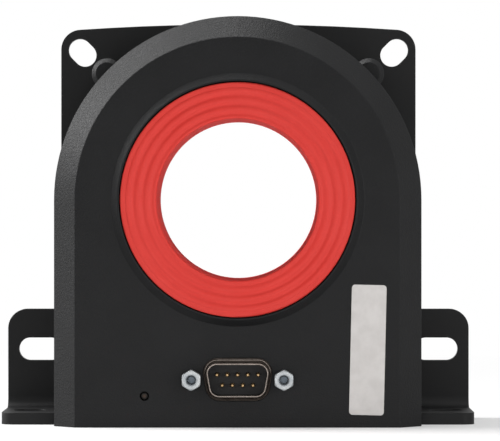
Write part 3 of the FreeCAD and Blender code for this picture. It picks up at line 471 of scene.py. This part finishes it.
can_metal = plated_metal("can_metal", CAN_METAL, CAN_METAL_DULL, roughness=0.3, stretch=(1, 1, 0.1))
guide_resin = amber_resin("guide_resin", GUIDE_AMBER, transmission=0.05, roughness=0.25, specular=0.12)
paint_rim_shade(guide_resin, "light_pipe", GUIDE_AMBER, GUIDE_RIM_SHADE, GUIDE_FADE)
shade_sockets(jack_zinc, "jack_screw_right", SOCKET_SHADE, SOCKET_FADE)
paint_shell_wear_and_highlight(shell_metal, "connector_shell", SHELL_WEAR_AND_HIGHLIGHT)
roughen_bore(ring_plastic, BORE_FADE, roughness=0.9)
lamp_resin = amber_resin("lamp_resin", LAMP_AMBER, transmission=0.3, roughness=0.25)
winding_wire = wound_wire("winding_wire", COPPER, COPPER_CREASE_SHADE, turns=420.0, roughness=0.35)

# The finish of each node, by the start of its name.
FINISHES = {
    "front_cover": housing_plastic,
    "back_plate": plate_plastic,
    "aperture_sleeve": ring_plastic,
    "connector_shell": shell_metal,
    "connector_insulator": insulator_plastic,
    "connector_body": insulator_plastic,
    "contact_pin": contact_gold,
    "jack_screw": jack_zinc,
    "connector_bracket": bracket_zinc,
    "light_pipe": guide_resin,
    "status_lamp": lamp_resin,
    "label_plate": label_foil,
    "control_board": board_lacquer,
    "cover_screw": screw_oxide,
    "core_case": case_plastic,
    "compensation_winding": winding_wire,
    "excitation_winding": winding_wire,
    "main_core": core_alloy,
    "fluxgate_core": core_alloy,
    "driver_chip": chip_plastic,
    "logic_chip": chip_plastic,
    "burden_resistor": chip_plastic,
    "power_transistor": chip_plastic,
    "winding_header": insulator_plastic,
    "filter_capacitor": can_metal,
}


def dress(piece, material):
    piece.data.materials.clear()
    piece.data.materials.append(material)


def dress_nodes():
    for name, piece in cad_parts.items():
        kind = next(kind for kind in FINISHES if name.startswith(kind))
        dress(piece, FINISHES[kind])


def internal_thread(name, socket):
    """A single helical ridge that winds into the round socket of a node, from near its mouth inwards."""
    middle = middle_of(socket)
    start_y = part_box(socket)[0].y / MM + THREAD_SETBACK
    root, crest = THREAD_PITCH * 0.45, THREAD_PITCH * 0.08
    section = ((THREAD_MAJOR, -root), (THREAD_MINOR, -crest), (THREAD_MINOR, crest), (THREAD_MAJOR, root))
    turns = THREAD_LENGTH / THREAD_PITCH
    mesh = bpy.data.meshes.new(name)
    shape = bmesh.new()
    corners = [
        shape.verts.new((middle.x + radius * MM, (start_y + along) * MM, middle.z))
        for radius, along in section
    ]
    shape.faces.new(corners)
    bmesh.ops.spin(
        shape,
        geom=shape.verts[:] + shape.edges[:] + shape.faces[:],
        cent=(middle.x, 0, middle.z),
        axis=(0, 1, 0),
        dvec=(0, THREAD_PITCH / STEPS_A_TURN * MM, 0),
        angle=math.tau * turns,
        steps=int(turns * STEPS_A_TURN),
    )
    bmesh.ops.remove_doubles(shape, verts=shape.verts, dist=1e-8)
    bmesh.ops.recalc_face_normals(shape, faces=shape.faces)
    shape.to_mesh(mesh)
    shape.free()
    piece = bpy.data.objects.new(name, mesh)
    bpy.context.scene.collection.objects.link(piece)
    dress(piece, jack_zinc)
    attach(piece, "root")


def seen_by_eye_or_gloss(tree):
    """1 for a ray that is seen straight on, mirrored or through glass, and 0 for one that only lights."""
    path = tree.add("ShaderNodeLightPath").outputs
    mirrored = tree.maths("MAXIMUM", path["Is Glossy Ray"], path["Is Transmission Ray"])
    return tree.maths("MAXIMUM", path["Is Camera Ray"], mirrored)


def white_room(light_strength):
    """A world that looks white and lights the object softly from all round."""
    world = bpy.data.worlds.new("white_room")
    world.use_nodes = True
    bpy.context.scene.world = world
    tree = Tree(world.node_tree)
    background = world.node_tree.nodes["Background"]
    background.inputs["Color"].default_value = WHITE
    strength = tree.map_range(seen_by_eye_or_gloss(tree), 0.0, 1.0, light_strength, 1.0)
    tree.feed(background, "Strength", strength)


def pale_floor(half_size=4.0, near=0.08, far=0.45, near_lift=0.35):
    """A wide floor under the housing: it keeps the shadow near it and turns white further away."""
    mesh = bpy.data.meshes.new("floor")
    shape = bmesh.new()
    bmesh.ops.create_grid(shape, x_segments=1, y_segments=1, size=half_size)
    bmesh.ops.translate(shape, verts=shape.verts, vec=(0, 0, cad_box[0].z))
    shape.to_mesh(mesh)
    shape.free()
    floor = bpy.data.objects.new("floor", mesh)
    bpy.context.scene.collection.objects.link(floor)
    material, tree, shader = new_material("floor_paper")
    shader.inputs["Base Color"].default_value = FLOOR_PALE
    shader.inputs["Roughness"].default_value = 0.9
    shader.inputs["Specular IOR Level"].default_value = 0.0
    glow = tree.add("ShaderNodeEmission", {"Color": WHITE, "Strength": 1.0})
    place = tree.add("ShaderNodeTexCoord").outputs["Object"]
    away = tree.add("ShaderNodeVectorMath", {0: place}, operation="LENGTH").outputs["Value"]
    lift = tree.map_range(away, near, far, near_lift, 1.0)
    share = tree.maths("MULTIPLY", seen_by_eye_or_gloss(tree), lift)
    surfaces = {0: share, 1: shader.outputs["BSDF"], 2: glow.outputs["Emission"]}
    mixed = tree.add("ShaderNodeMixShader", surfaces)
    output = material.node_tree.nodes["Material Output"]
    tree.feed(output, "Surface", mixed.outputs["Shader"])
    dress(floor, material)


def softbox(name, place, size, power, aim=(0, 0, 0)):
    """An area lamp, in metres and watts, turned towards a point of the object."""
    light = bpy.data.lights.new(name, "AREA")
    light.shape = "RECTANGLE"
    light.size, light.size_y = size
    light.energy = power
    lamp = bpy.data.objects.new(name, light)
    lamp.location = place
    lamp.rotation_euler = (Vector(aim) - Vector(place)).to_track_quat("-Z", "Y").to_euler()
    lamp.visible_camera = False
    bpy.context.scene.collection.objects.link(lamp)


def studio():
    floor_z = cad_box[0].z
    white_room(light_strength=0.18)
    pale_floor()
    softbox("key_left", (-0.98, 0.10, 0.50), (0.35, 0.50), 9)
    softbox("key_upper_left", (-0.62, 0.10, 0.90), (0.35, 0.50), 7)
    softbox("key_top", (-0.10, 0.10, 1.08), (0.35, 0.50), 4.4)
    softbox("side_left", (-0.80, 0.00, 0.03), (0.25, 0.15), 0.6)
    softbox("fill_upper_right", (0.43, -0.50, 0.75), (0.40, 0.40), 1.8)
    softbox("fill_lower_right", (0.45, -0.50, -0.02), (0.30, 0.30), 1.6)
    low_place, low_aim = (-0.06, -0.30, floor_z + 0.018), (-0.02, -0.02, floor_z + 0.02)
    softbox("low_front", low_place, (0.35, 0.03), 0.12, aim=low_aim)


def photo_camera():
    data = bpy.data.cameras.new("photo_camera")
    data.sensor_fit = "HORIZONTAL"
    data.sensor_width = SENSOR_WIDTH
    data.lens = PIXELS_PER_MM * CAMERA_DISTANCE / IMAGE_WIDTH * SENSOR_WIDTH
    camera = bpy.data.objects.new("photo_camera", data)
    camera.location = CAMERA_PLACE * MM
    camera.rotation_euler = (FRAME_MIDDLE - CAMERA_PLACE).to_track_quat("-Z", "Y").to_euler()
    bpy.context.scene.collection.objects.link(camera)
    bpy.context.scene.camera = camera


dress_nodes()
for side in ("left", "right"):
    internal_thread(f"jack_thread_{side}", f"jack_screw_{side}")
studio()
photo_camera()
bpy.context.scene.view_settings.view_transform = "Standard"
